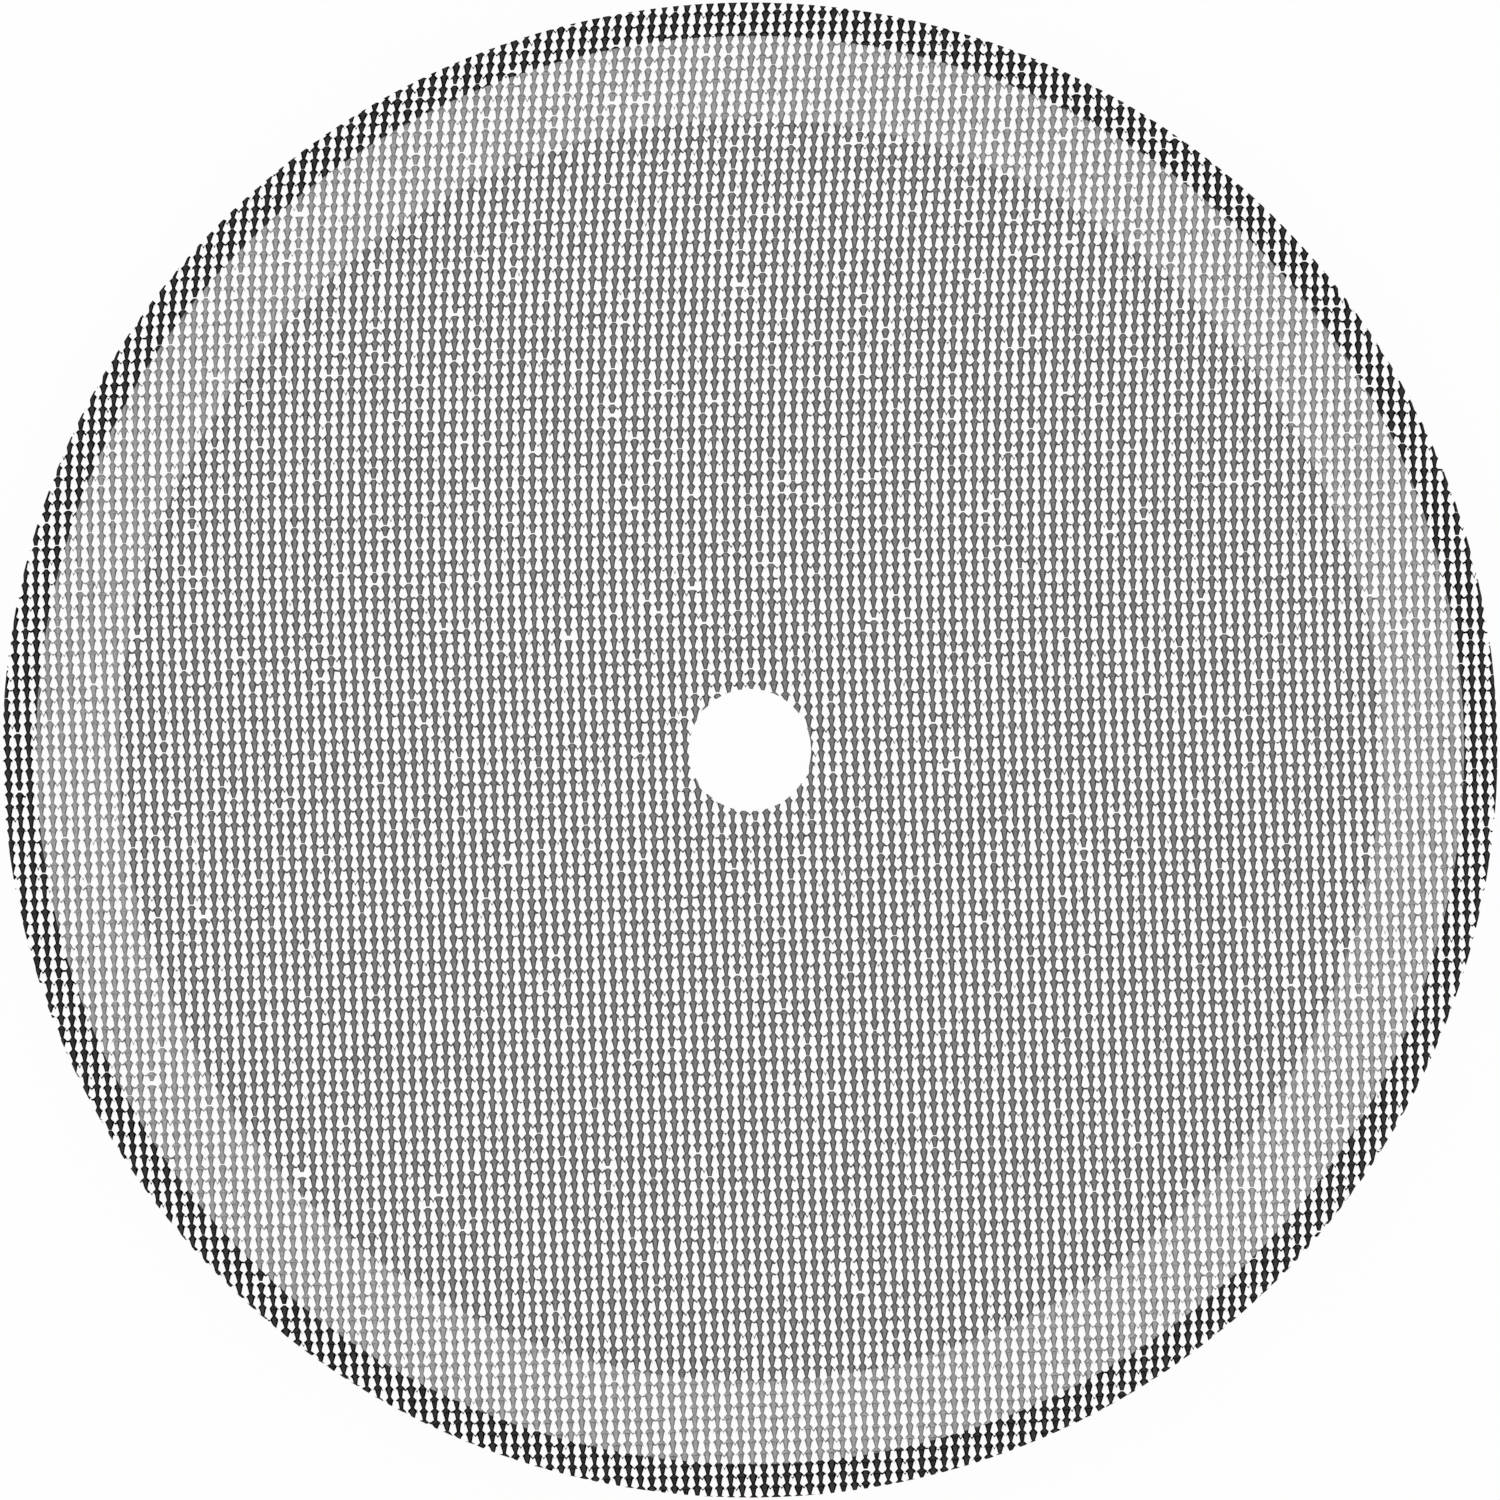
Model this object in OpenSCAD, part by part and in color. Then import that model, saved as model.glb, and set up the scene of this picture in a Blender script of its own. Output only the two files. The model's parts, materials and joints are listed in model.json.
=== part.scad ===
// Wire mesh filter disc of a coffee plunger: one round of woven wire cloth with a bore,
// pressed to a shallow dish. Millimetres; the flat web lies on z = 0 and the bore runs along Z.

/* [Disc] */
// Outside diameter of the disc
disc_d = 100; // [90:0.5:110]
// Diameter of the bore that the plunger rod passes through
bore_d = 8.2; // [6:0.1:10]

/* [Pressed form] */
// Plan width of the bevel ring outside the flat web
bevel_w = 5.5; // [4:0.1:8]
// Slope of the bevel ring
bevel_angle = 16; // [10:1:22]
// Plan width of the steep lip at the edge
lip_w = 2.2; // [1.6:0.1:3.5]
// Slope of the lip
lip_angle = 40; // [30:1:46]

/* [Wire cloth] */
// Thickness of the closed bands that hold the warp wires together
wall_t = 0.25; // [0.2:0.01:0.4]
// Height of the warp wires above those bands
warp_h = 0.15; // [0.1:0.01:0.3]
// Width of a warp wire
warp_w = 0.44; // [0.3:0.01:0.6]
// Spacing of the warp wires
warp_pitch = 0.885; // [0.8:0.005:1.4]
// Width of the closed band along the edge of the disc
edge_w = 0.7; // [0.6:0.1:1.4]
// Width of the closed band round the bore
land_w = 0.9; // [0.8:0.1:2]
// Shortest gap that is opened at the two sides of the disc
gap_min = 18; // [10:1:30]
// Turn of the cloth on the disc
cloth_turn = 1.8; // [0:0.1:10]

/* [Hidden] */
$fn = 180;
disc_r = disc_d / 2;
bore_r = bore_d / 2;
web_r = disc_r - lip_w - bevel_w;
bevel_top = [web_r + bevel_w, bevel_w * tan(bevel_angle)];
lip_top = [disc_r, bevel_top.y + lip_w * tan(lip_angle)];
cloth_t = wall_t + warp_h;
disc_h = lip_top.y + cloth_t / cos(lip_angle);
open_r = disc_r - edge_w;
// The gaps lie within gap_span of the axis, and the open cloth ends under the wires outside the last gaps
gap_span = sqrt(pow(open_r, 2) - pow(gap_min / 2, 2));
open_half = (floor(gap_span / warp_pitch) + 0.5) * warp_pitch;
// What the cutting bodies reach past the disc
past = 1;

// Where the pressed surface turns from one slope to the next, at a depth above its underside
function fold(corner, from, to, depth) =
    let (middle = (from + to) / 2)
    corner + depth / cos((to - from) / 2) * [-sin(middle), cos(middle)];

// Half section of the pressed surface at a depth above its underside, from the axis outwards
function form_line(depth, reach = 0) = [
    [0, depth],
    fold([web_r, 0], 0, bevel_angle, depth),
    fold(bevel_top, bevel_angle, lip_angle, depth),
    lip_top + [reach, reach * tan(lip_angle) + depth / cos(lip_angle)]
];

function backwards(points) = [for (i = [len(points) - 1 : -1 : 0]) points[i]];

// The pressed cloth from its underside up to a depth
module pressed_layer(depth) {
    rotate_extrude()
        polygon(concat(form_line(0), backwards(form_line(depth))));
}

// All that lies below the pressed surface at a depth
module ground(depth) {
    rotate_extrude()
        polygon(concat(form_line(depth, past), [[disc_r + past, -past], [0, -past]]));
}

// A plan outline cut or raised through the whole height of the disc, turned with the cloth
module through() {
    translate([0, 0, -past])
        linear_extrude(disc_h + 2 * past)
            rotate(cloth_turn)
                children();
}

// Straight warp wires on both sides of a gap that lies on the axis
module warp_wires() {
    last = floor((disc_r - warp_w / 2) / warp_pitch - 0.5);
    through()
        for (i = [-last - 1 : last])
            translate([(i + 0.5) * warp_pitch - warp_w / 2, -disc_d])
                square([warp_w, 2 * disc_d]);
}

// Where nothing but the warp wires spans the disc
module open_cloth() {
    through()
        intersection() {
            square([2 * open_half, disc_d], center = true);
            difference() {
                circle(open_r);
                circle(bore_r + land_w);
            }
        }
}

module mesh_disc() {
    color([0.48, 0.48, 0.48])
        difference() {
            intersection() {
                union() {
                    difference() {
                        ground(wall_t);
                        open_cloth();
                    }
                    warp_wires();
                }
                pressed_layer(cloth_t);
            }
            through()
                circle(bore_r);
        }
}

mesh_disc();
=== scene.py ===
"""Wire mesh filter disc: the woven wires of a pressed screen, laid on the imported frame."""

import json
import logging
import math
from abc import ABC, abstractmethod
from collections.abc import Callable
from dataclasses import dataclass
from enum import Enum
from typing import ClassVar

import bpy
import numpy as np
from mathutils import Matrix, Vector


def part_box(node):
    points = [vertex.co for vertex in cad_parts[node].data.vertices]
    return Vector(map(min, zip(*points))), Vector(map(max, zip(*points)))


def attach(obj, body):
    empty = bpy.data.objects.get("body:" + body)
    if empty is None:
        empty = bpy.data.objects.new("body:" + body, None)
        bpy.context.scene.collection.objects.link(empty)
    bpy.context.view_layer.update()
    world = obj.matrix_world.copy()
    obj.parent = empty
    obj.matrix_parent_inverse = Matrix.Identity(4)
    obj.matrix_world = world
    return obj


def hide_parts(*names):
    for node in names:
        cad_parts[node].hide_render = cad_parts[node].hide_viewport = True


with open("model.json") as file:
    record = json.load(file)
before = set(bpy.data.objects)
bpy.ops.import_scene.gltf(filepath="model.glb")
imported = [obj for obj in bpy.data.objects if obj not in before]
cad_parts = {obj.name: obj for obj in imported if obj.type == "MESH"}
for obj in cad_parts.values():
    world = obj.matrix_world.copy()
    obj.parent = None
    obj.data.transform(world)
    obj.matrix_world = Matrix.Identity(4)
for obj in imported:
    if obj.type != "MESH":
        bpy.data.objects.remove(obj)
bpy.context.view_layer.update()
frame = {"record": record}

LOG = logging.getLogger("filter_disc")
MM = 0.001
NODE = "mesh_disc"
BODY = "root"
# Names of the attribute that picks the zone's grey or a painted glint, of the attribute of painted shade,
# and of the UV map that every piece carries
TONE = "wire_tone"
PAINTED_SHADE = "wire_painted_shade"
BAKE_MAP = "OFBake"
# Half size of a wire's end on that map, as a share of its cell
CAP_HALF = 0.4
# Rounds in which a value that depends on itself is found
SOLVE_STEPS = 12
# Wires that are counted past the last one that should meet the disc
SPARE_WIRES = 2


def opaque(grey: float) -> tuple[float, float, float, float]:
    """A grey as an opaque colour."""
    return grey, grey, grey, 1.0


class Zone(Enum):
    """Rings of the pressed disc that differ in tone, from the middle outwards: the lighter bevel and the
    darker lip are painted light and shade of their slopes.
    """

    WEB = "flat web"
    BEVEL = "bevel ring"
    LIP = "steep lip"


@dataclass(frozen=True)
class DishForm:
    """Pressed form of the disc: a surface turned about Z, in metres.

    Attributes:
        disc_r: Outside radius.
        bore_r: Radius of the bore.
        bevel_w: Plan width of the bevel ring.
        bevel_angle: Slope of the bevel ring, in radians.
        lip_w: Plan width of the steep lip.
        lip_angle: Slope of the lip, in radians.
        fold_w: Plan width over which a fold is rounded.
        draw: Share of the slopes' length for which the cloth is drawn inwards. The rest is stretched.
        lip_spread: How much wider the pressing leaves the wires of the lip, as a factor.
    """

    disc_r: float
    bore_r: float
    bevel_w: float = 5.5 * MM
    bevel_angle: float = math.radians(16)
    lip_w: float = 2.2 * MM
    lip_angle: float = math.radians(40)
    fold_w: float = 0.15 * MM
    draw: float = 0.5
    lip_spread: float = 1.07

    @classmethod
    def from_frame(cls) -> "DishForm":
        """Takes the outside from the node's box and the bore from the record's mount.

        Returns:
            The form.
        """
        low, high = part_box(NODE)
        bore = next(m for m in frame["record"]["mounts"] if m["name"] == "bore")
        return cls(disc_r=(high.x - low.x) / 2, bore_r=bore["dims"]["r_mm"] * MM)

    @property
    def lip_r(self) -> float:
        """Radius at the foot of the lip."""
        return self.disc_r - self.lip_w

    @property
    def web_r(self) -> float:
        """Radius of the flat web."""
        return self.lip_r - self.bevel_w

    @property
    def blank_r(self) -> float:
        """Outside radius of the flat cloth before it is pressed.

        It starts at the disc's own radius and grows by what its pressed edge lacks of that.

        Returns:
            The radius.
        """
        radius = self.disc_r
        for _ in range(SOLVE_STEPS):
            radius += self.disc_r - float(self.pressed(radius))
        return radius

    def rise(self, radius: np.ndarray) -> np.ndarray:
        """Height of the cloth's underside at plan distances from the axis."""
        return self._climb(radius, math.tan(self.bevel_angle), math.tan(self.lip_angle))

    def pressed(self, radius: np.ndarray) -> np.ndarray:
        """Plan distances from the axis of points at these distances on the flat cloth.

        A slope shortens a length to its cosine, so draw * (1 - cosine) of it is lost in plan.

        Args:
            radius: Distances on the flat cloth.

        Returns:
            Plan distances, in the shape of radius.
        """
        bevel = self.draw * (1 - math.cos(self.bevel_angle))
        lip = self.draw * (1 - math.cos(self.lip_angle))
        return radius - self._climb(radius, bevel, lip)

    def _climb(self, radius: np.ndarray, bevel: float, lip: float) -> np.ndarray:
        """A value that is 0 on the web and climbs at one rate on the bevel and another on the lip.

        Two ramps are added, one from the edge of the web and one from the foot of the lip. Each is
        fold * log(1 + exp((radius - start) / fold)): nothing inside its start, and an even climb
        outside it, with a rounded fold between.

        Args:
            radius: Distances from the axis.
            bevel: Climb for each metre of the bevel.
            lip: Climb for each metre of the lip.

        Returns:
            Values, in the shape of radius.
        """
        def ramp(start: float) -> np.ndarray:
            """One softened ramp of slope 1."""
            return self.fold_w * np.logaddexp(0.0, (radius - start) / self.fold_w)

        return bevel * ramp(self.web_r) + (lip - bevel) * ramp(self.lip_r)

    def spread(self, radius: np.ndarray) -> np.ndarray:
        """Factor on the width of the wires at plan distances from the axis."""
        return np.where(radius > self.lip_r, self.lip_spread, 1.0)

    def trim(self, across: np.ndarray, along: np.ndarray) -> tuple[np.ndarray, np.ndarray]:
        """Brings points of the flat cloth past its edge, or inside the bore, back onto that circle.

        A point slides parallel to the larger of its two coordinates until it meets the circle, as
        a die cuts a wire off square to the sheet.

        Args:
            across: Coordinates square to the wires.
            along: Coordinates along the wires.

        Returns:
            The trimmed coordinates.
        """
        for circle, sign in ((self.blank_r, 1.0), (self.bore_r, -1.0)):
            past = sign * np.hypot(across, along) > sign * circle
            wide = np.abs(across) > np.abs(along)
            to_side = np.copysign(np.sqrt(np.maximum(circle ** 2 - along ** 2, 0.0)), across)
            to_end = np.copysign(np.sqrt(np.maximum(circle ** 2 - across ** 2, 0.0)), along)
            across, along = np.where(past & wide, to_side, across), np.where(past & ~wide, to_end, along)
        return across, along


@dataclass(frozen=True)
class Cloth:
    """Grid of the weave on the disc, in metres.

    Attributes:
        warp_pitch: Spacing of the warp wires, which run up the picture.
        weft_pitch: Spacing of the weft wires, and of the necks of the warp.
        warp_shift: Place of the first warp wire right of the axis, in pitches.
        weft_shift: Height of the row of necks nearest the axis, in pitches.
        turn: Turn of the warp on the disc, in radians.
        skew: How far the weft is turned back from square to the warp, in radians.
        bow_from: Distance above the axis from which the warp bends to the right.
        bow_r: Radius of that bend.
        fan: How far the warp fans out above the axis: its lean for each metre to the side.
        warp_crowding: How far the warp wires move left with their distance from the axis squared.
        weft_crowding: How far the rows move down with that distance squared.
        middle: Height of the cloth's middle above its underside.
    """

    warp_pitch: float = 0.759 * MM
    weft_pitch: float = 0.788 * MM
    warp_shift: float = 0.285
    weft_shift: float = -0.057
    turn: float = math.radians(1.77)
    skew: float = math.radians(0.4)
    bow_from: float = 5.4 * MM
    bow_r: float = 410 * MM
    fan: float = 0.137
    warp_crowding: float = 0.05
    weft_crowding: float = 0.21
    middle: float = 0.2 * MM

    def columns(self, numbers: np.ndarray) -> np.ndarray:
        """Distances of the numbered warp wires from the axis, which crowd towards the right."""
        even = (numbers + self.warp_shift) * self.warp_pitch
        return even - self.warp_crowding * even ** 2

    def rows(self, numbers: np.ndarray) -> np.ndarray:
        """Distances of the numbered rows of necks from the axis, which crowd towards the top."""
        even = (numbers + self.weft_shift) * self.weft_pitch
        return even - self.weft_crowding * even ** 2

    def bow(self, height: np.ndarray, side: np.ndarray) -> np.ndarray:
        """Shift of the warp to the right.

        It is the distance into the bend, squared, over the bend's diameter, plus fan * side * height.

        Args:
            height: Distances above the axis.
            side: Distances to the right of the axis.

        Returns:
            The shifts.
        """
        into = np.maximum(height - self.bow_from, 0.0)
        return into ** 2 / (2 * self.bow_r) + self.fan * side * np.maximum(height, 0.0)

    def lag(self, side: np.ndarray) -> np.ndarray:
        """Drop of the weft at a distance to the right of the axis."""
        return -math.tan(self.skew) * side

    def on_disc(self, warp_side: np.ndarray, weft_side: np.ndarray) -> tuple[np.ndarray, np.ndarray]:
        """Turns cloth coordinates into X and Y of the disc."""
        cos, sin = math.cos(self.turn), math.sin(self.turn)
        return warp_side * cos - weft_side * sin, warp_side * sin + weft_side * cos


@dataclass(frozen=True)
class Runs:
    """Stretches of wire between the edges of the flat cloth, one value for each.

    Attributes:
        number: Which wire of its family a stretch belongs to.
        place: Distance from the axis, square to the wire.
        low: Where the stretch starts, along the wire.
        high: Where it ends.
    """

    number: np.ndarray
    place: np.ndarray
    low: np.ndarray
    high: np.ndarray

    @classmethod
    def on_disc(cls, form: DishForm, number: np.ndarray, place: np.ndarray, thin: float,
                drift: Callable[[np.ndarray, np.ndarray], np.ndarray]) -> "Runs":
        """Cuts whole wires to the flat cloth.

        A wire ends where its inner edge meets the outer circle. It is cut in two by the bore if its
        outer edge passes inside. Half a chord is sqrt(circle^2 - edge^2). The drift at the end of a
        chord moves that edge, so the chord is found again from it a few times over.

        Args:
            form: The disc.
            number: Numbers of the wires.
            place: Distances of the wires from the axis.
            thin: Half width of a wire at its thinnest.
            drift: Sideways shift of a wire by the distance along it and its place.

        Returns:
            The stretches, sorted from one side of the disc to the other.
        """
        def chord(circle: float, rim: float, sign: int) -> np.ndarray:
            """Half chords of a circle.

            Args:
                circle: Radius of the circle.
                rim: Edge of the wire that meets it, in half widths outwards from the middle.
                sign: 1 for the upper half of a chord, -1 for the lower one.

            Returns:
                Where the chords end, along the wires.
            """
            end = np.zeros_like(place)
            for _ in range(SOLVE_STEPS):
                edge = np.maximum(np.abs(place + drift(sign * end, place)) + rim * thin, 0.0)
                end = np.sqrt(np.maximum(circle ** 2 - edge ** 2, 0.0))
            return sign * end

        on = np.abs(place) < form.blank_r
        number, place = number[on], place[on]
        top, bottom = (chord(form.blank_r, -1.0, sign) for sign in (1, -1))
        above, below = (chord(form.bore_r, 1.0, sign) for sign in (1, -1))
        cut = above > below
        whole = cls(
            np.concatenate([number, number[cut]]),
            np.concatenate([place, place[cut]]),
            np.concatenate([np.where(cut, above, bottom), bottom[cut]]),
            np.concatenate([top, below[cut]]),
        )
        return whole.chosen(np.argsort(whole.place, kind="stable"))

    def chosen(self, rows: np.ndarray) -> "Runs":
        """The stretches at these rows."""
        return Runs(self.number[rows], self.place[rows], self.low[rows], self.high[rows])

    def parted(self, at: np.ndarray, gap: np.ndarray) -> "Runs":
        """Parts the stretches where their wires are nicked.

        Every nick ends one stretch half a gap below it and starts another half a gap above it.
        Starts and ends, each sorted by stretch and then by height, pair up one to one.

        Args:
            at: Places along the wires at which a nick may lie, by stretch and place.
            gap: Open length of the nick there, or 0 for none.

        Returns:
            The shorter stretches.
        """
        clear = (at > self.low[:, None] + gap) & (at < self.high[:, None] - gap)
        run, place = np.nonzero((gap > 0.0) & clear)
        half = gap[run, place] / 2
        owner = np.concatenate([np.arange(len(self.number)), run])
        start = np.concatenate([self.low, at[run, place] + half])
        end = np.concatenate([self.high, at[run, place] - half])
        rising = np.lexsort((start, owner))
        low = start[rising]
        high = end[np.lexsort((end, owner))]
        return Runs(self.number[owner[rising]], self.place[owner[rising]], low, high)


@dataclass(frozen=True)
class Rings:
    """Cross sections along the wires: arrays of one value for each stretch and station.

    Attributes:
        sideways: Shift of the section's middle, square to the wire.
        half_width: Half width in plan.
        lift: Height above the middle of the cloth.
        half_height: Half height.
        tone: 1 for the tone of the zone, 0 for the painted glint grey.
        shade: How far the painted shade of the flanks also covers the crown, from 0 to 1.
    """

    sideways: np.ndarray
    half_width: np.ndarray
    lift: np.ndarray
    half_height: np.ndarray
    tone: np.ndarray
    shade: np.ndarray


@dataclass(frozen=True)
class Tone:
    """Tone of the wire in one zone, with the light or shade of the zone's slope painted in.

    Attributes:
        crown: Grey of the crowns.
        flank: Share of that grey that is left on the flanks, where shade is painted.
    """

    crown: float
    flank: float


@dataclass(frozen=True)
class SatinWire:
    """Finish of the steel wire: satin, with a grey for each zone of the disc into which the light or shade
    of that zone's slope is painted.

    Attributes:
        web: Tone of the flat web.
        bevel: Tone of the bevel ring, painted lighter for the light that its slope catches.
        lip: Tone of the lip, painted near black for the shade on its steep slope.
        glint_grey: Grey painted on fine weft wire in the middle of a mesh, as a glint of light on it.
        glance: Tint of the light that glances off the flanks.
        fade: Power by which the painted shade of the flanks falls off towards the crowns.
        roughness: Mean roughness.
        uneven: How far the roughness varies with the grain.
        mottle: Share by which the grey varies from knuckle to knuckle.
        mottle_scale: Cells of that noise in a metre.
        mottle_detail: Finer layers of that noise.
        grain: Share by which the grey varies within a knuckle.
        grain_scale: Cells of that noise in a metre.
        grain_detail: Finer layers of that noise.
        relief: Strength of the grain's relief.
        relief_h: Height of that relief, in metres.
    """

    web: Tone = Tone(crown=0.233, flank=0.44)
    # Painted light: the bevel is made lighter for the light that its slope catches
    bevel: Tone = Tone(crown=0.36, flank=0.85)
    # Painted shade: the lip is made near black for the shade on its steep slope
    lip: Tone = Tone(crown=0.047, flank=0.04)
    # Painted glint on fine weft wire
    glint_grey: float = 0.9
    glance: float = 0.4
    fade: float = 2.5
    roughness: float = 0.42
    uneven: float = 0.1
    mottle: float = 0.25
    mottle_scale: float = 1300.0
    mottle_detail: float = 3.0
    grain: float = 0.75
    grain_scale: float = 9000.0
    grain_detail: float = 4.0
    relief: float = 0.2
    relief_h: float = 0.01 * MM

    def tones(self) -> dict[Zone, Tone]:
        """The tone of each zone."""
        return {Zone.WEB: self.web, Zone.BEVEL: self.bevel, Zone.LIP: self.lip}

    def material(self, form: DishForm) -> bpy.types.Material:
        """Makes the node material.

        The plan radius picks the zone's grey, into which the light or shade of its slope is painted,
        and the share of painted shade on the flanks, on two stepped ramps. The wire's own tone mixes it
        with the painted glint grey, and two noises vary the grey, the roughness and the surface.

        Args:
            form: The disc, for the radii of the zones.

        Returns:
            The material.
        """
        material = bpy.data.materials.new("satin_steel_wire")
        material.use_nodes = True
        tree = material.node_tree
        shader = tree.nodes["Principled BSDF"]
        shader.inputs["Metallic"].default_value = 1.0
        shader.inputs["Specular Tint"].default_value = opaque(self.glance)

        place = tree.nodes.new("ShaderNodeTexCoord").outputs["Object"]
        radius = self._plan_radius(tree, place, form)
        crowns = {zone: tone.crown for zone, tone in self.tones().items()}
        flanks = {zone: tone.flank for zone, tone in self.tones().items()}
        # Zone greys, with painted light on the bevel and painted shade on the lip
        grey = self._stepped(tree, radius, form, crowns)
        # Zone shares of painted shade on the flanks
        flank = self._stepped(tree, radius, form, flanks)
        patches = self._noise(tree, place, self.mottle_scale, self.mottle_detail)
        grain = self._noise(tree, place, self.grain_scale, self.grain_detail)
        for factor in (
            self._ranged(tree, patches, 1 - self.mottle, 1 + self.mottle),
            self._ranged(tree, grain, 1 - self.grain, 1 + self.grain),
            self._painted_shade_factor(tree, flank),
        ):
            toned = tree.nodes.new("ShaderNodeMix")
            toned.data_type = "RGBA"
            toned.blend_type = "MULTIPLY"
            toned.inputs["Factor"].default_value = 1.0
            tree.links.new(grey, toned.inputs["A"])
            tree.links.new(factor, toned.inputs["B"])
            grey = toned.outputs["Result"]

        own = tree.nodes.new("ShaderNodeAttribute")
        own.attribute_name = TONE
        colour = tree.nodes.new("ShaderNodeMix")
        colour.data_type = "RGBA"
        # Painted glint: the grey of fine weft wire in the middle of a mesh
        colour.inputs["A"].default_value = opaque(self.glint_grey)
        tree.links.new(own.outputs["Fac"], colour.inputs["Factor"])
        tree.links.new(grey, colour.inputs["B"])
        tree.links.new(colour.outputs["Result"], shader.inputs["Base Color"])

        rough = self._ranged(tree, grain, self.roughness - self.uneven, self.roughness + self.uneven)
        tree.links.new(rough, shader.inputs["Roughness"])
        bump = tree.nodes.new("ShaderNodeBump")
        bump.inputs["Strength"].default_value = self.relief
        bump.inputs["Distance"].default_value = self.relief_h
        tree.links.new(grain, bump.inputs["Height"])
        tree.links.new(bump.outputs["Normal"], shader.inputs["Normal"])
        return material

    def _painted_shade_factor(self, tree: bpy.types.NodeTree, flank: bpy.types.NodeSocket) -> bpy.types.NodeSocket:
        """Factor of painted shade on the grey: 1 on a crown, and the zone's share on a flank.

        Between the two it falls with the wire's painted shade value, raised to the power of fade.

        Args:
            tree: The material's nodes.
            flank: The zone's share of painted shade.

        Returns:
            The factor.
        """
        side = tree.nodes.new("ShaderNodeAttribute")
        side.attribute_name = PAINTED_SHADE
        edge = tree.nodes.new("ShaderNodeMath")
        edge.operation = "POWER"
        edge.inputs[1].default_value = self.fade
        tree.links.new(side.outputs["Fac"], edge.inputs[0])
        factor = self._ranged(tree, edge.outputs[0], 1.0, 1.0)
        tree.links.new(flank, factor.node.inputs["To Max"])
        return factor

    @staticmethod
    def _plan_radius(tree: bpy.types.NodeTree, place: bpy.types.NodeSocket,
                     form: DishForm) -> bpy.types.NodeSocket:
        """Length of a place's X and Y, as a share of the disc's radius.

        Args:
            tree: The material's nodes.
            place: The object's own coordinates.
            form: The disc.

        Returns:
            The plan radius.
        """
        flat = tree.nodes.new("ShaderNodeVectorMath")
        flat.operation = "MULTIPLY"
        flat.inputs[1].default_value = (1 / form.disc_r, 1 / form.disc_r, 0.0)
        tree.links.new(place, flat.inputs[0])
        radius = tree.nodes.new("ShaderNodeVectorMath")
        radius.operation = "LENGTH"
        tree.links.new(flat.outputs[0], radius.inputs[0])
        return radius.outputs["Value"]

    @staticmethod
    def _stepped(tree: bpy.types.NodeTree, radius: bpy.types.NodeSocket, form: DishForm,
                 values: dict[Zone, float]) -> bpy.types.NodeSocket:
        """A ramp that steps from zone to zone.

        Args:
            tree: The material's nodes.
            radius: Plan radius, as a share of the disc's.
            form: The disc, for the radii of the zones.
            values: The value of each zone.

        Returns:
            The value at the radius.
        """
        ramp = tree.nodes.new("ShaderNodeValToRGB")
        ramp.color_ramp.interpolation = "CONSTANT"
        stops = ramp.color_ramp.elements
        stops.remove(stops[1])
        starts = {
            Zone.WEB: 0.0,
            Zone.BEVEL: form.web_r / form.disc_r,
            Zone.LIP: form.lip_r / form.disc_r,
        }
        for zone, start in starts.items():
            stop = stops[0] if zone is Zone.WEB else stops.new(start)
            stop.color = opaque(values[zone])
        tree.links.new(radius, ramp.inputs["Fac"])
        return ramp.outputs["Color"]

    @staticmethod
    def _noise(tree: bpy.types.NodeTree, place: bpy.types.NodeSocket, scale: float,
               detail: float) -> bpy.types.NodeSocket:
        """A noise over the object's own coordinates.

        Args:
            tree: The material's nodes.
            place: The object's own coordinates.
            scale: Cells in a metre.
            detail: Finer layers.

        Returns:
            The noise, from 0 to 1.
        """
        noise = tree.nodes.new("ShaderNodeTexNoise")
        noise.inputs["Scale"].default_value = scale
        noise.inputs["Detail"].default_value = detail
        tree.links.new(place, noise.inputs["Vector"])
        return noise.outputs["Fac"]

    @staticmethod
    def _ranged(tree: bpy.types.NodeTree, source: bpy.types.NodeSocket, low: float,
                high: float) -> bpy.types.NodeSocket:
        """Spreads a value from 0 to 1 over another range.

        Args:
            tree: The material's nodes.
            source: The value.
            low: What 0 becomes.
            high: What 1 becomes.

        Returns:
            The spread value.
        """
        spread = tree.nodes.new("ShaderNodeMapRange")
        spread.inputs["To Min"].default_value = low
        spread.inputs["To Max"].default_value = high
        tree.links.new(source, spread.inputs["Value"])
        return spread.outputs["Result"]


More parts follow.
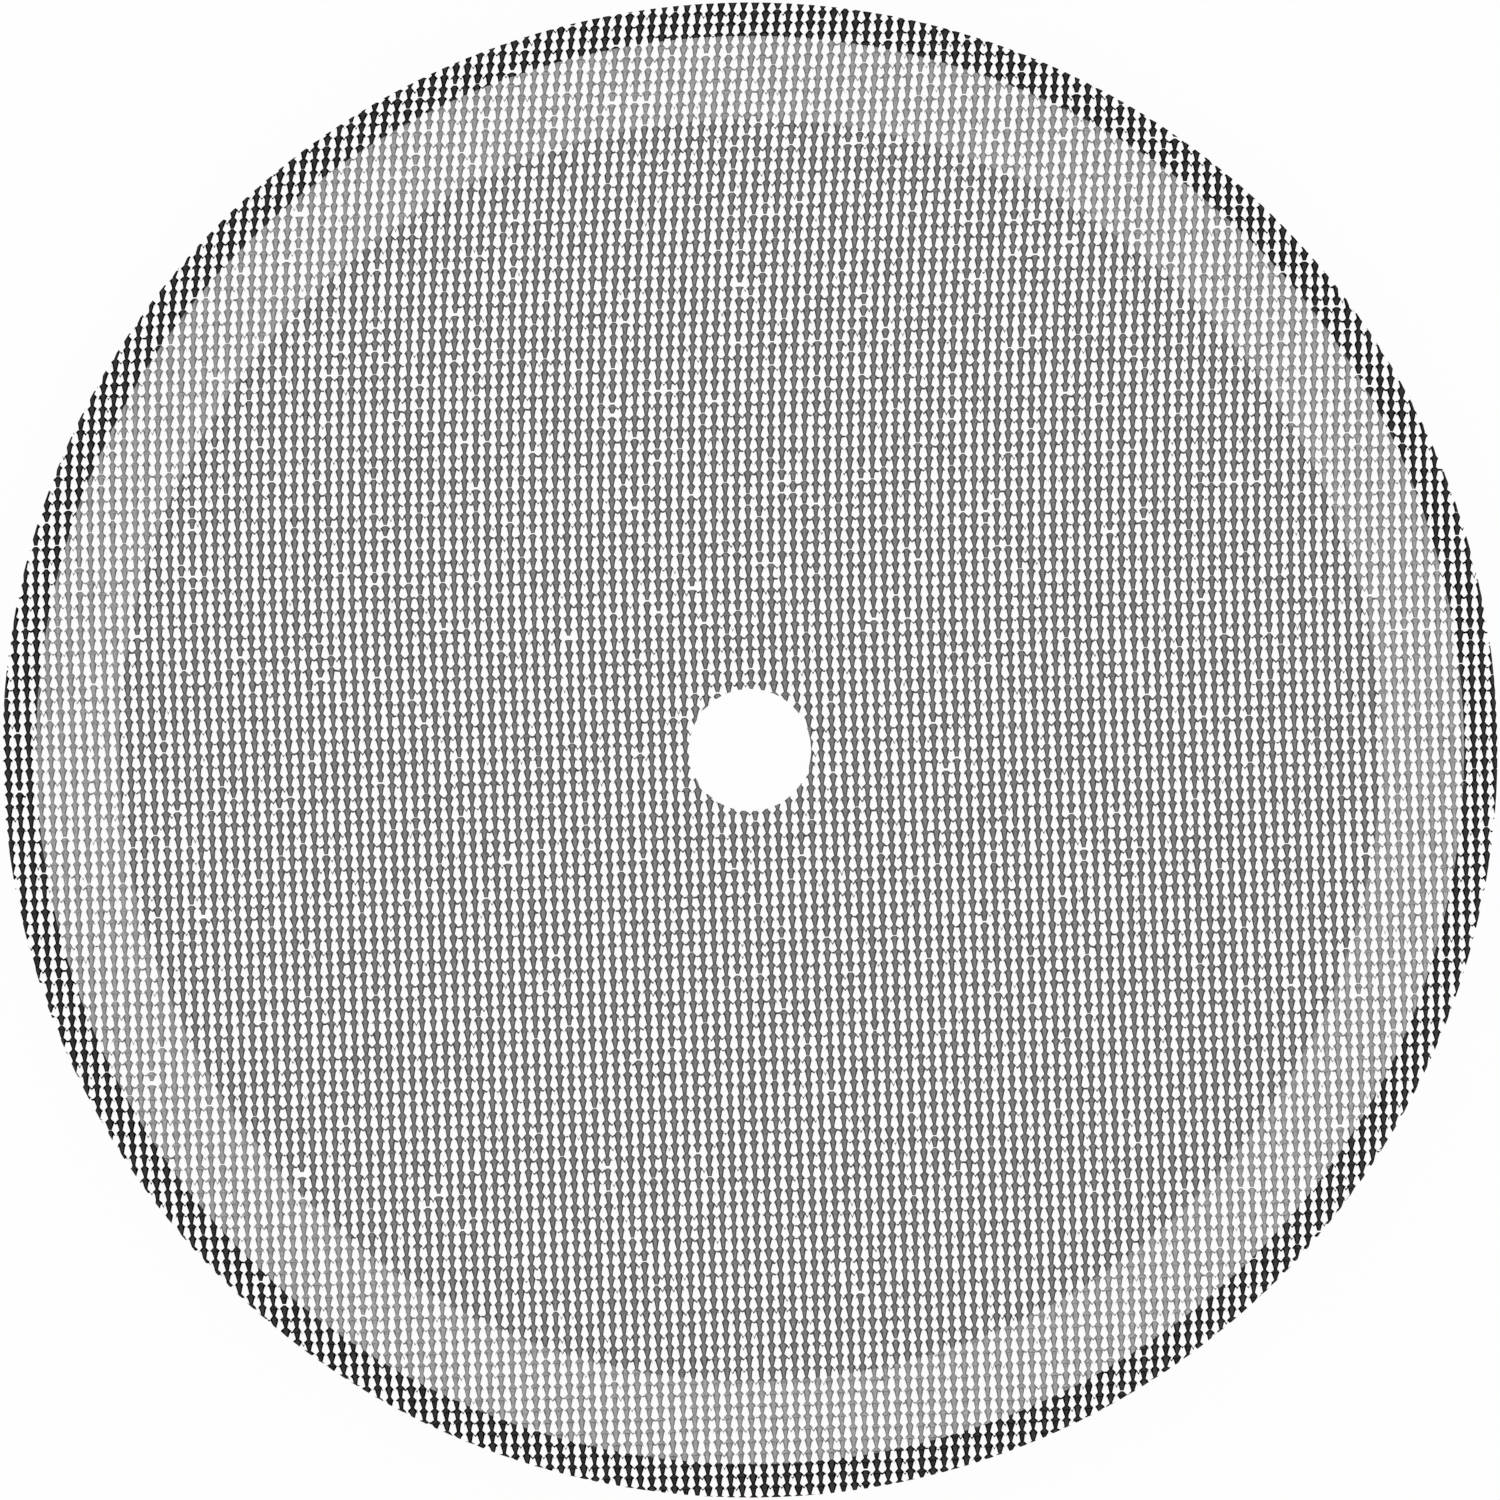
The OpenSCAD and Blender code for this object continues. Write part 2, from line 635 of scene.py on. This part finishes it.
@dataclass(frozen=True)
class WireFamily(ABC):
    """Wires of one direction: closed tubes along their runs, cut by the edges of the disc.

    Attributes:
        form: The pressed disc.
        cloth: The grid of the weave.
        section: Points of the cross section, in half widths and half heights, round the wire.
        flanks: How far the wall after each of those points gets the painted shade of a flank, from 0 to 1.
        piece_names: Names of the pieces that share the wires.
    """

    form: DishForm
    cloth: Cloth
    section: ClassVar[np.ndarray]
    flanks: ClassVar[np.ndarray]
    piece_names: ClassVar[tuple[str, ...]]

    @abstractmethod
    def runs(self) -> Runs:
        """The stretches of wire on the disc."""

    @abstractmethod
    def stations(self, runs: Runs) -> np.ndarray:
        """Where the cross sections stand along the wires, by run and station."""

    @abstractmethod
    def drift(self, along: np.ndarray, place: np.ndarray) -> np.ndarray:
        """Sideways shift of the wires at these places, by the distances along them."""

    @abstractmethod
    def rings(self, number: np.ndarray) -> Rings:
        """The cross sections of the wires with these numbers."""

    @abstractmethod
    def plan(self, across: np.ndarray, along: np.ndarray) -> tuple[np.ndarray, np.ndarray]:
        """X and Y, on the flat cloth, of points that lie across and along the wires."""

    @property
    def last_warp(self) -> int:
        """Number of the last warp wire that can meet the disc, on either side of the axis."""
        return math.ceil(self.form.blank_r / self.cloth.warp_pitch) + SPARE_WIRES

    @property
    def last_weft(self) -> int:
        """Number of the last weft row that can meet the disc, on either side of the axis."""
        return math.ceil(self.form.blank_r / self.cloth.weft_pitch) + SPARE_WIRES

    def build(self, material: bpy.types.Material) -> list[bpy.types.Object]:
        """Makes the family's pieces, as many as keep each mesh light.

        Args:
            material: The finish of the wires.

        Returns:
            The pieces, which stand for the CAD node.
        """
        runs = self.runs()
        shares = np.array_split(np.arange(len(runs.number)), len(self.piece_names))
        pieces = []
        for name, rows in zip(self.piece_names, shares):
            piece = bpy.data.objects.new(name, self._mesh(name, runs.chosen(rows)))
            bpy.context.scene.collection.objects.link(piece)
            piece.data.materials.append(material)
            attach(piece, BODY)
            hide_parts(NODE)
            pieces.append(piece)
        return pieces

    def _points(self, runs: Runs, rings: Rings) -> np.ndarray:
        """Carries the section along the runs.

        A point is the run's place, plus the drift and the ring's shift, plus the section's share of
        the half width and of the form's spread, trimmed to the flat cloth and drawn in by the
        pressing. Its height is the pressed form there, plus the middle of the cloth, plus the ring's
        lift, plus the section's share of the half height.

        Args:
            runs: The stretches of wire.
            rings: Their cross sections.

        Returns:
            Points by run, station, side and axis.
        """
        sideways, upward = self.section.T
        along = np.clip(self.stations(runs), runs.low[:, None], runs.high[:, None])
        place = runs.place[:, None]
        middle = place + self.drift(along, place) + rings.sideways
        half_width = rings.half_width * self.form.spread(self.form.pressed(np.hypot(middle, along)))
        across = middle[..., None] + half_width[..., None] * sideways
        across, along = self.form.trim(across, np.broadcast_to(along[..., None], across.shape))
        x, y = self.plan(across, along)
        flat = np.hypot(x, y)
        radius = self.form.pressed(flat)
        z = self.form.rise(radius) + self.cloth.middle
        z = z + rings.lift[..., None] + rings.half_height[..., None] * upward
        return np.stack([x * radius / flat, y * radius / flat, z], axis=-1)

    def _mesh(self, name: str, runs: Runs) -> bpy.types.Mesh:
        """Closes the tubes: four-sided walls between the stations of a run, and a cap at each end.

        Args:
            name: Name of the mesh.
            runs: The stretches of wire.

        Returns:
            The mesh, with its tone attribute, its attribute of painted shade and a bake map on which every
            wire is unrolled.
        """
        rings = self.rings(runs.number)
        points = self._points(runs, rings)
        run_n, ring_n, side_n = points.shape[:3]
        stations = self.stations(runs)
        used = (stations[:, 1:] > runs.low[:, None]) & (stations[:, :-1] < runs.high[:, None])
        row = np.arange(run_n)
        first = used.argmax(axis=1)
        last = ring_n - 1 - used[:, ::-1].argmax(axis=1)

        index = np.arange(run_n * ring_n * side_n).reshape(run_n, ring_n, side_n)
        after = np.roll(index, -1, axis=2)
        walls = np.stack([index[:, :-1], after[:, :-1], after[:, 1:], index[:, 1:]], axis=-1)[used]
        caps = np.concatenate([index[row, first][:, ::-1], index[row, last]])
        kept, corners = np.unique(np.concatenate([walls.ravel(), caps.ravel()]), return_inverse=True)

        mesh = bpy.data.meshes.new(name)
        wall_n, cap_n = walls.size // 4, len(caps)
        mesh.vertices.add(len(kept))
        mesh.loops.add(len(corners))
        mesh.polygons.add(wall_n + cap_n)
        mesh.vertices.foreach_set("co", points.reshape(-1, 3)[kept].astype(np.float32).ravel())
        mesh.loops.foreach_set("vertex_index", corners.astype(np.int32).ravel())
        starts = np.concatenate([np.arange(wall_n) * 4, wall_n * 4 + np.arange(cap_n) * side_n])
        mesh.polygons.foreach_set("loop_start", starts.astype(np.int32))
        mesh.update(calc_edges=True)
        mesh.shade_flat()

        tone = mesh.attributes.new(TONE, "FLOAT", "POINT")
        tone.data.foreach_set("value", np.repeat(rings.tone, side_n)[kept].astype(np.float32))
        # Painted shade: each corner of a wall is as dark as its side's flank share or its ring's shade,
        # whichever is more; the caps are fully shaded
        here, there = rings.shade[:, :-1], rings.shade[:, 1:]
        ends = np.stack([here, here, there, there], axis=-1)
        wall_shade = np.maximum(ends[:, :, None, :], self.flanks[:, None])
        dark = np.concatenate([wall_shade[used].ravel(), np.ones(caps.size)])
        flank = mesh.attributes.new(PAINTED_SHADE, "FLOAT", "CORNER")
        flank.data.foreach_set("value", dark.astype(np.float32))
        bake_map = mesh.uv_layers.new(name=BAKE_MAP)
        unrolled = self._unrolled(used, first, last)
        bake_map.uv.foreach_set("vector", unrolled.astype(np.float32).ravel())
        mesh.validate()
        return mesh

    def _unrolled(self, used: np.ndarray, first: np.ndarray, last: np.ndarray) -> np.ndarray:
        """Lays the corners of all faces on the bake map.

        Every run has its own column. A wall lies at the share of its side across that column, and in
        the row of its stations. A cap lies in the middle of the column, at its end of the run.

        Args:
            used: Whether there are walls after a station, by run and station.
            first: Station of the cap at the start of each run.
            last: Station of the cap at its end.

        Returns:
            Places on the map, the corners of the walls first.
        """
        run_n, wall_n = used.shape
        side_n = len(self.section)
        shape = (run_n, wall_n, side_n, 4)
        row = np.arange(run_n)
        side = np.arange(side_n)
        wall_u = np.stack([side, side + 1, side + 1, side], axis=-1) / side_n + row[:, None, None, None]
        wall_v = np.arange(wall_n)[:, None, None] + np.array([0, 0, 1, 1])
        cap_u = np.concatenate([row, row])[:, None] + 0.5 + CAP_HALF * self.section[:, 0]
        cap_v = np.concatenate([first, last])[:, None] + CAP_HALF * self.section[:, 1]
        cap_u[:run_n], cap_v[:run_n] = cap_u[:run_n, ::-1], cap_v[:run_n, ::-1]
        u = np.concatenate([np.broadcast_to(wall_u, shape)[used].ravel(), cap_u.ravel()]) / run_n
        v = np.concatenate([np.broadcast_to(wall_v, shape)[used].ravel(), cap_v.ravel()]) / wall_n
        return np.clip(np.stack([u, v], axis=-1), 0, 1)


@dataclass(frozen=True)
class WarpWires(WireFamily):
    """Warp wires: chains of flattened knuckles, kite-shaped in plan, with their tips down.

    Attributes:
        neck: Half width of the neck between two knuckles.
        body: Half width of a knuckle below its shoulders.
        shoulder: Half width at the shoulders.
        body_at: Place of the body above the neck, as a share of the pitch.
        shoulder_at: Place of the shoulders, as such a share.
        neck_at: Place at which the next neck starts, as such a share.
        half_height: Half height of the flattened wire.
        crimp: How far a wire rises and dips where it passes a weft wire.
        uneven: Spread of the widths, as a share.
        uneven_limit: Largest departure of a width, as such a share.
        jitter: Spread of the places of the knuckles along the wire, in pitches.
        jitter_limit: Largest such move, as a share of the room above a knuckle.
        neck_shade: How far the painted shade covers the crown at a neck.
        nick_share: Share of the necks at which the wire is parted, at the height of the axis.
        nick_rise: How much that share grows from the axis to the top of the disc, as a factor.
        nick_least: Least value of that factor below the axis.
        nick_gap: Mean open length of such a nick.
        seed: Seed of the uneven widths and places and of the nicks.
    """

    neck: float = 0.111 * MM
    body: float = 0.217 * MM
    shoulder: float = 0.297 * MM
    body_at: float = 0.53
    shoulder_at: float = 0.71
    neck_at: float = 0.95
    half_height: float = 0.1 * MM
    crimp: float = 0.05 * MM
    uneven: float = 0.09
    uneven_limit: float = 0.2
    jitter: float = 0.045
    jitter_limit: float = 0.9
    neck_shade: float = 0.88
    nick_share: float = 0.108
    nick_rise: float = 0.9
    nick_least: float = 0.05
    nick_gap: float = 0.04 * MM
    seed: int = 11
    section: ClassVar[np.ndarray] = np.array(
        [(-1.0, -0.1), (-0.5, 1.0), (0.5, 1.0), (1.0, -0.1), (0.0, -1.0)])
    # Painted shade: full on the two upper sides, partial on the underside, none on the crown
    flanks: ClassVar[np.ndarray] = np.array([1.0, 0.0, 1.0, 0.4, 0.4])
    piece_names: ClassVar[tuple[str, ...]] = ("warp_wires_left", "warp_wires_middle", "warp_wires_right")

    def runs(self) -> Runs:
        """The stretches of every warp wire that meets the disc.

        A neck draws a number from 0 to 1 and is nicked if that is under the share at its height. The
        gap is the mean gap times log(share / number), so short nicks are the most common.

        Returns:
            The stretches, parted at the nicks.
        """
        number = np.arange(-self.last_warp, self.last_warp + 1)
        whole = Runs.on_disc(self.form, number, self.cloth.columns(number), self.neck, self.drift)
        necks = self.stations(whole)[:, self.knuckles().ravel() % 1.0 == 0.0]
        drawn = np.random.default_rng(self.seed).random((number.size, necks.shape[1]))
        growth = 1 + self.nick_rise * necks / self.form.disc_r
        share = self.nick_share * np.maximum(growth, self.nick_least)
        # A wire with a negative number has its row at the end of the table
        gap = self.nick_gap * np.maximum(np.log(share / drawn[whole.number]), 0.0)
        return whole.parted(necks, gap)

    def knuckles(self) -> np.ndarray:
        """Stations of each knuckle in weft pitches: neck, body, shoulders and start of the next neck."""
        steps = np.array([0.0, self.body_at, self.shoulder_at, self.neck_at])
        return np.arange(-self.last_weft, self.last_weft + 1)[:, None] + steps

    def stations(self, runs: Runs) -> np.ndarray:
        """Distances of the cross sections along the wires.

        They keep to the rows of the weft. Each knuckle is moved by chance from its neck, by less than
        the room that is left above it.

        Args:
            runs: The stretches of wire.

        Returns:
            The distances, by run and station.
        """
        knuckles = self.knuckles()
        random = np.random.default_rng(self.seed)
        move = random.normal(0.0, self.jitter, (2 * self.last_warp + 1, len(knuckles), 1))[runs.number]
        reach = self.jitter_limit * (1 - self.neck_at)
        # The neck stays, and the other three stations move with the knuckle
        moving = np.array([0.0, 1.0, 1.0, 1.0])
        moved = knuckles + np.clip(move, -reach, reach) * moving
        even = self.cloth.rows(moved.reshape(len(runs.number), -1))
        return even + self.cloth.lag(runs.place)[:, None]

    def drift(self, along: np.ndarray, place: np.ndarray) -> np.ndarray:
        """The bow of the warp."""
        return self.cloth.bow(along, place)

    def rings(self, number: np.ndarray) -> Rings:
        """Knuckles of the numbered wires.

        The half width climbs evenly from the neck to the body, faster to the shoulders, and drops to
        the next neck. The lift is crimp * cos(pi * row), counted from the weft at the shoulders and
        turned over from one wire to the next.

        Args:
            number: Numbers of the wires.

        Returns:
            The cross sections.
        """
        rows = self.knuckles().ravel()
        random = np.random.default_rng(self.seed)
        spread = random.normal(1.0, self.uneven, (2 * self.last_warp + 1, rows.size))[number]
        width = np.resize([self.neck, self.body, self.shoulder, self.neck], rows.size)
        # Painted shade on the crown at the necks
        shade = np.resize([self.neck_shade, 0.0, 0.0, self.neck_shade], rows.size)
        turned = np.where(number % 2 == 0, 1.0, -1.0)[:, None]
        lift = self.crimp * turned * np.cos(math.pi * (rows - self.shoulder_at))
        return Rings(
            sideways=np.zeros_like(lift),
            half_width=width * np.clip(spread, 1 - self.uneven_limit, 1 + self.uneven_limit),
            lift=lift,
            half_height=np.full_like(lift, self.half_height),
            tone=np.ones_like(lift),
            shade=np.broadcast_to(shade, lift.shape),
        )

    def plan(self, across: np.ndarray, along: np.ndarray) -> tuple[np.ndarray, np.ndarray]:
        """X and Y of points on the warp wires."""
        return self.cloth.on_disc(across, along)


@dataclass(frozen=True)
class WeftWires(WireFamily):
    """Weft wires: thin wires that pass over and under the knuckles and sag between them.

    Attributes:
        fine: Half thickness of fine wire in a mesh.
        coarse: Half thickness of coarse wire there and where the wire crosses a warp wire.
        coarse_eaves: Share of the shoulders at which the wire comes out coarse.
        coarse_middles: Share of the meshes in whose middle it is coarse and in the zone's tone, not fine
            with a painted glint.
        eave_at: Place of a shoulder from its crossing, in pitches.
        eave_drop: How far the wire has dropped there, in plan.
        below_neck: Place of the crossings below the tops of the necks, in pitches.
        sag: How far the wire hangs below its crossings in the middle of a mesh, in plan.
        slack: Spread of the sag, as a share.
        crimp: How far a wire rises and dips where it passes a warp wire.
        seed: Seed of the coarse wire and of the slack.
    """

    fine: float = 0.007 * MM
    coarse: float = 0.066 * MM
    coarse_eaves: float = 0.45
    coarse_middles: float = 0.3
    eave_at: float = 0.34
    eave_drop: float = 0.06 * MM
    below_neck: float = 0.265
    sag: float = 0.2 * MM
    slack: float = 0.35
    crimp: float = 0.11 * MM
    seed: int = 23
    section: ClassVar[np.ndarray] = np.array([(1.0, 0.5), (-1.0, 0.5), (0.0, -1.0)])
    # Painted shade on the two lower faces, none on the flat top
    flanks: ClassVar[np.ndarray] = np.array([0.0, 0.6, 0.6])
    piece_names: ClassVar[tuple[str, ...]] = ("weft_wires_front", "weft_wires_back")

    def runs(self) -> Runs:
        """The stretches of every weft wire that meets the disc.

        Returns:
            The stretches, each row set below the necks that it crosses.
        """
        number = np.arange(-self.last_weft, self.last_weft + 1)
        place = self.cloth.rows(number - self.below_neck)
        return Runs.on_disc(self.form, number, place, self.fine, self.drift)

    def columns(self) -> np.ndarray:
        """Stations in warp pitches: each warp wire, then the two shoulders and the middle of each mesh."""
        steps = np.array([0.0, self.eave_at, 0.5, 1 - self.eave_at])
        return (np.arange(-self.last_warp, self.last_warp + 1)[:, None] + steps).ravel()

    def stations(self, runs: Runs) -> np.ndarray:
        """Distances of the cross sections along the wires, which keep to the columns of the warp."""
        even = self.cloth.columns(self.columns())
        return even + self.cloth.bow(runs.place[:, None], even)

    def drift(self, along: np.ndarray, place: np.ndarray) -> np.ndarray:
        """The skew of the weft, which is the same at every place."""
        return self.cloth.lag(along)

    def rings(self, number: np.ndarray) -> Rings:
        """Crossings and links of the numbered wires.

        The lift is crimp * cos(pi * column), turned over from one wire to the next, so a weft wire
        is high where the warp is low. In each mesh the wire drops from the two shoulders to the
        middle, and it is coarse or fine there by chance.

        Args:
            number: Numbers of the wires.

        Returns:
            The cross sections.
        """
        columns = self.columns()
        random = np.random.default_rng(self.seed)
        table = (2 * self.last_weft + 1, columns.size)
        # A wire with a negative number has its row at the end of the table
        drawn = random.random(table)[number]
        slack = random.normal(1.0, self.slack, table)[number]
        drop = np.resize([0.0, self.eave_drop, self.sag, self.eave_drop], columns.size)
        share = np.resize([1.0, self.coarse_eaves, self.coarse_middles, self.coarse_eaves], columns.size)
        # Painted shade along the wire, full away from its crossings with the warp
        shade = np.resize([0.0, 1.0, 1.0, 1.0], columns.size)
        coarse = drawn < share
        turned = np.where(number % 2 == 0, 1.0, -1.0)[:, None]
        thick = np.where(coarse, self.coarse, self.fine)
        return Rings(
            sideways=-drop * slack,
            half_width=thick,
            lift=self.crimp * turned * np.cos(math.pi * columns),
            half_height=thick,
            # Fine wire in the middle of a mesh takes the painted glint grey
            tone=np.where(coarse | (columns % 1.0 != 0.5), 1.0, 0.0),
            shade=np.broadcast_to(shade, drawn.shape),
        )

    def plan(self, across: np.ndarray, along: np.ndarray) -> tuple[np.ndarray, np.ndarray]:
        """X and Y of points on the weft wires."""
        return self.cloth.on_disc(along, across)


@dataclass(frozen=True)
class Studio:
    """Pale floor, soft light and a camera straight above the disc.

    Attributes:
        form: The disc, for the framing.
        top: Height of the disc's edge.
        lens: Focal length, in millimetres.
        frame_px: Side of the square picture, in pixels.
        disc_px: Diameter of the disc in the picture, in pixels.
        floor_half: Half side of the floor.
        floor_grey: Grey of the floor where it is lit.
        shade: Share of the shading that the white floor keeps.
        sky: Strength of the sky as a light.
        key_power: Power of the lamp, in watts.
        key_side: Side of the square lamp.
        key_place: Place of the lamp.
    """

    form: DishForm
    top: float
    lens: float = 300.0
    frame_px: float = 1500.0
    disc_px: float = 1495.6
    floor_half: float = 3.0
    floor_grey: float = 0.9
    shade: float = 0.05
    sky: float = 0.85
    key_power: float = 0.9
    key_side: float = 0.7
    key_place: tuple[float, float, float] = (-0.75, 0.55, 0.55)

    def build(self) -> None:
        """Makes the floor, the light and the camera."""
        self._floor()
        self._sky()
        self._lamp()
        self._camera()
        bpy.context.scene.view_settings.view_transform = "Standard"

    @staticmethod
    def _seen(tree: bpy.types.NodeTree) -> bpy.types.NodeSocket:
        """Tells the rays that show a surface to the eye, straight or in metal and glass.

        Args:
            tree: The nodes of a material or of the sky.

        Returns:
            1 for such a ray and 0 for others.
        """
        path = tree.nodes.new("ShaderNodeLightPath")
        total = path.outputs["Is Camera Ray"]
        for kind in ("Is Glossy Ray", "Is Transmission Ray"):
            either = tree.nodes.new("ShaderNodeMath")
            either.operation = "MAXIMUM"
            tree.links.new(total, either.inputs[0])
            tree.links.new(path.outputs[kind], either.inputs[1])
            total = either.outputs[0]
        return total

    def _floor(self) -> None:
        """A white floor that keeps a share of the object's shadow."""
        half = self.floor_half
        mesh = bpy.data.meshes.new("floor")
        corners = [(-half, -half, 0), (half, -half, 0), (half, half, 0), (-half, half, 0)]
        mesh.from_pydata(corners, [], [(0, 1, 2, 3)])
        floor = bpy.data.objects.new("floor", mesh)
        bpy.context.scene.collection.objects.link(floor)

        material = bpy.data.materials.new("white_floor")
        material.use_nodes = True
        tree = material.node_tree
        tree.nodes.clear()
        matt = tree.nodes.new("ShaderNodeBsdfDiffuse")
        matt.inputs["Color"].default_value = opaque(self.floor_grey)
        white = tree.nodes.new("ShaderNodeEmission")
        share = tree.nodes.new("ShaderNodeMath")
        share.operation = "MULTIPLY"
        share.inputs[1].default_value = 1 - self.shade
        tree.links.new(self._seen(tree), share.inputs[0])
        mixed = tree.nodes.new("ShaderNodeMixShader")
        tree.links.new(share.outputs[0], mixed.inputs["Fac"])
        tree.links.new(matt.outputs[0], mixed.inputs[1])
        tree.links.new(white.outputs[0], mixed.inputs[2])
        out = tree.nodes.new("ShaderNodeOutputMaterial")
        tree.links.new(mixed.outputs[0], out.inputs["Surface"])
        mesh.materials.append(material)

    def _sky(self) -> None:
        """An even sky: white where it is seen, and weaker as a light."""
        world = bpy.data.worlds.new("even_sky")
        world.use_nodes = True
        tree = world.node_tree
        light = tree.nodes["Background"]
        light.inputs["Color"].default_value = opaque(1.0)
        light.inputs["Strength"].default_value = self.sky
        white = tree.nodes.new("ShaderNodeBackground")
        white.inputs["Color"].default_value = opaque(1.0)
        mixed = tree.nodes.new("ShaderNodeMixShader")
        tree.links.new(self._seen(tree), mixed.inputs["Fac"])
        tree.links.new(light.outputs[0], mixed.inputs[1])
        tree.links.new(white.outputs[0], mixed.inputs[2])
        tree.links.new(mixed.outputs[0], tree.nodes["World Output"].inputs["Surface"])
        bpy.context.scene.world = world

    def _lamp(self) -> None:
        """A square soft lamp that points at the disc."""
        data = bpy.data.lights.new("soft_lamp", "AREA")
        data.shape = "SQUARE"
        data.size = self.key_side
        data.energy = self.key_power
        lamp = bpy.data.objects.new("soft_lamp", data)
        bpy.context.scene.collection.objects.link(lamp)
        lamp.location = self.key_place
        lamp.rotation_euler = (-lamp.location).to_track_quat("-Z", "Y").to_euler()

    def _camera(self) -> None:
        """A long lens straight above, so far off that the edge of the disc fills the frame."""
        data = bpy.data.cameras.new("camera")
        data.lens = self.lens
        half_view = data.sensor_width / 2 / data.lens
        half_disc = self.disc_px / self.frame_px * half_view
        camera = bpy.data.objects.new("camera", data)
        bpy.context.scene.collection.objects.link(camera)
        camera.location = (0.0, 0.0, self.top + self.form.disc_r / half_disc)
        bpy.context.scene.camera = camera


def main() -> None:
    """Builds the wires and the studio."""
    logging.basicConfig(level=logging.INFO, format="%(message)s")
    form = DishForm.from_frame()
    cloth = Cloth()
    material = SatinWire().material(form)
    for family in (WarpWires(form, cloth), WeftWires(form, cloth)):
        for piece in family.build(material):
            piece.data.calc_loop_triangles()
            LOG.info("%s: %d triangles", piece.name, len(piece.data.loop_triangles))
    Studio(form, top=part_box(NODE)[1].z).build()


if __name__ == "__main__":
    main()
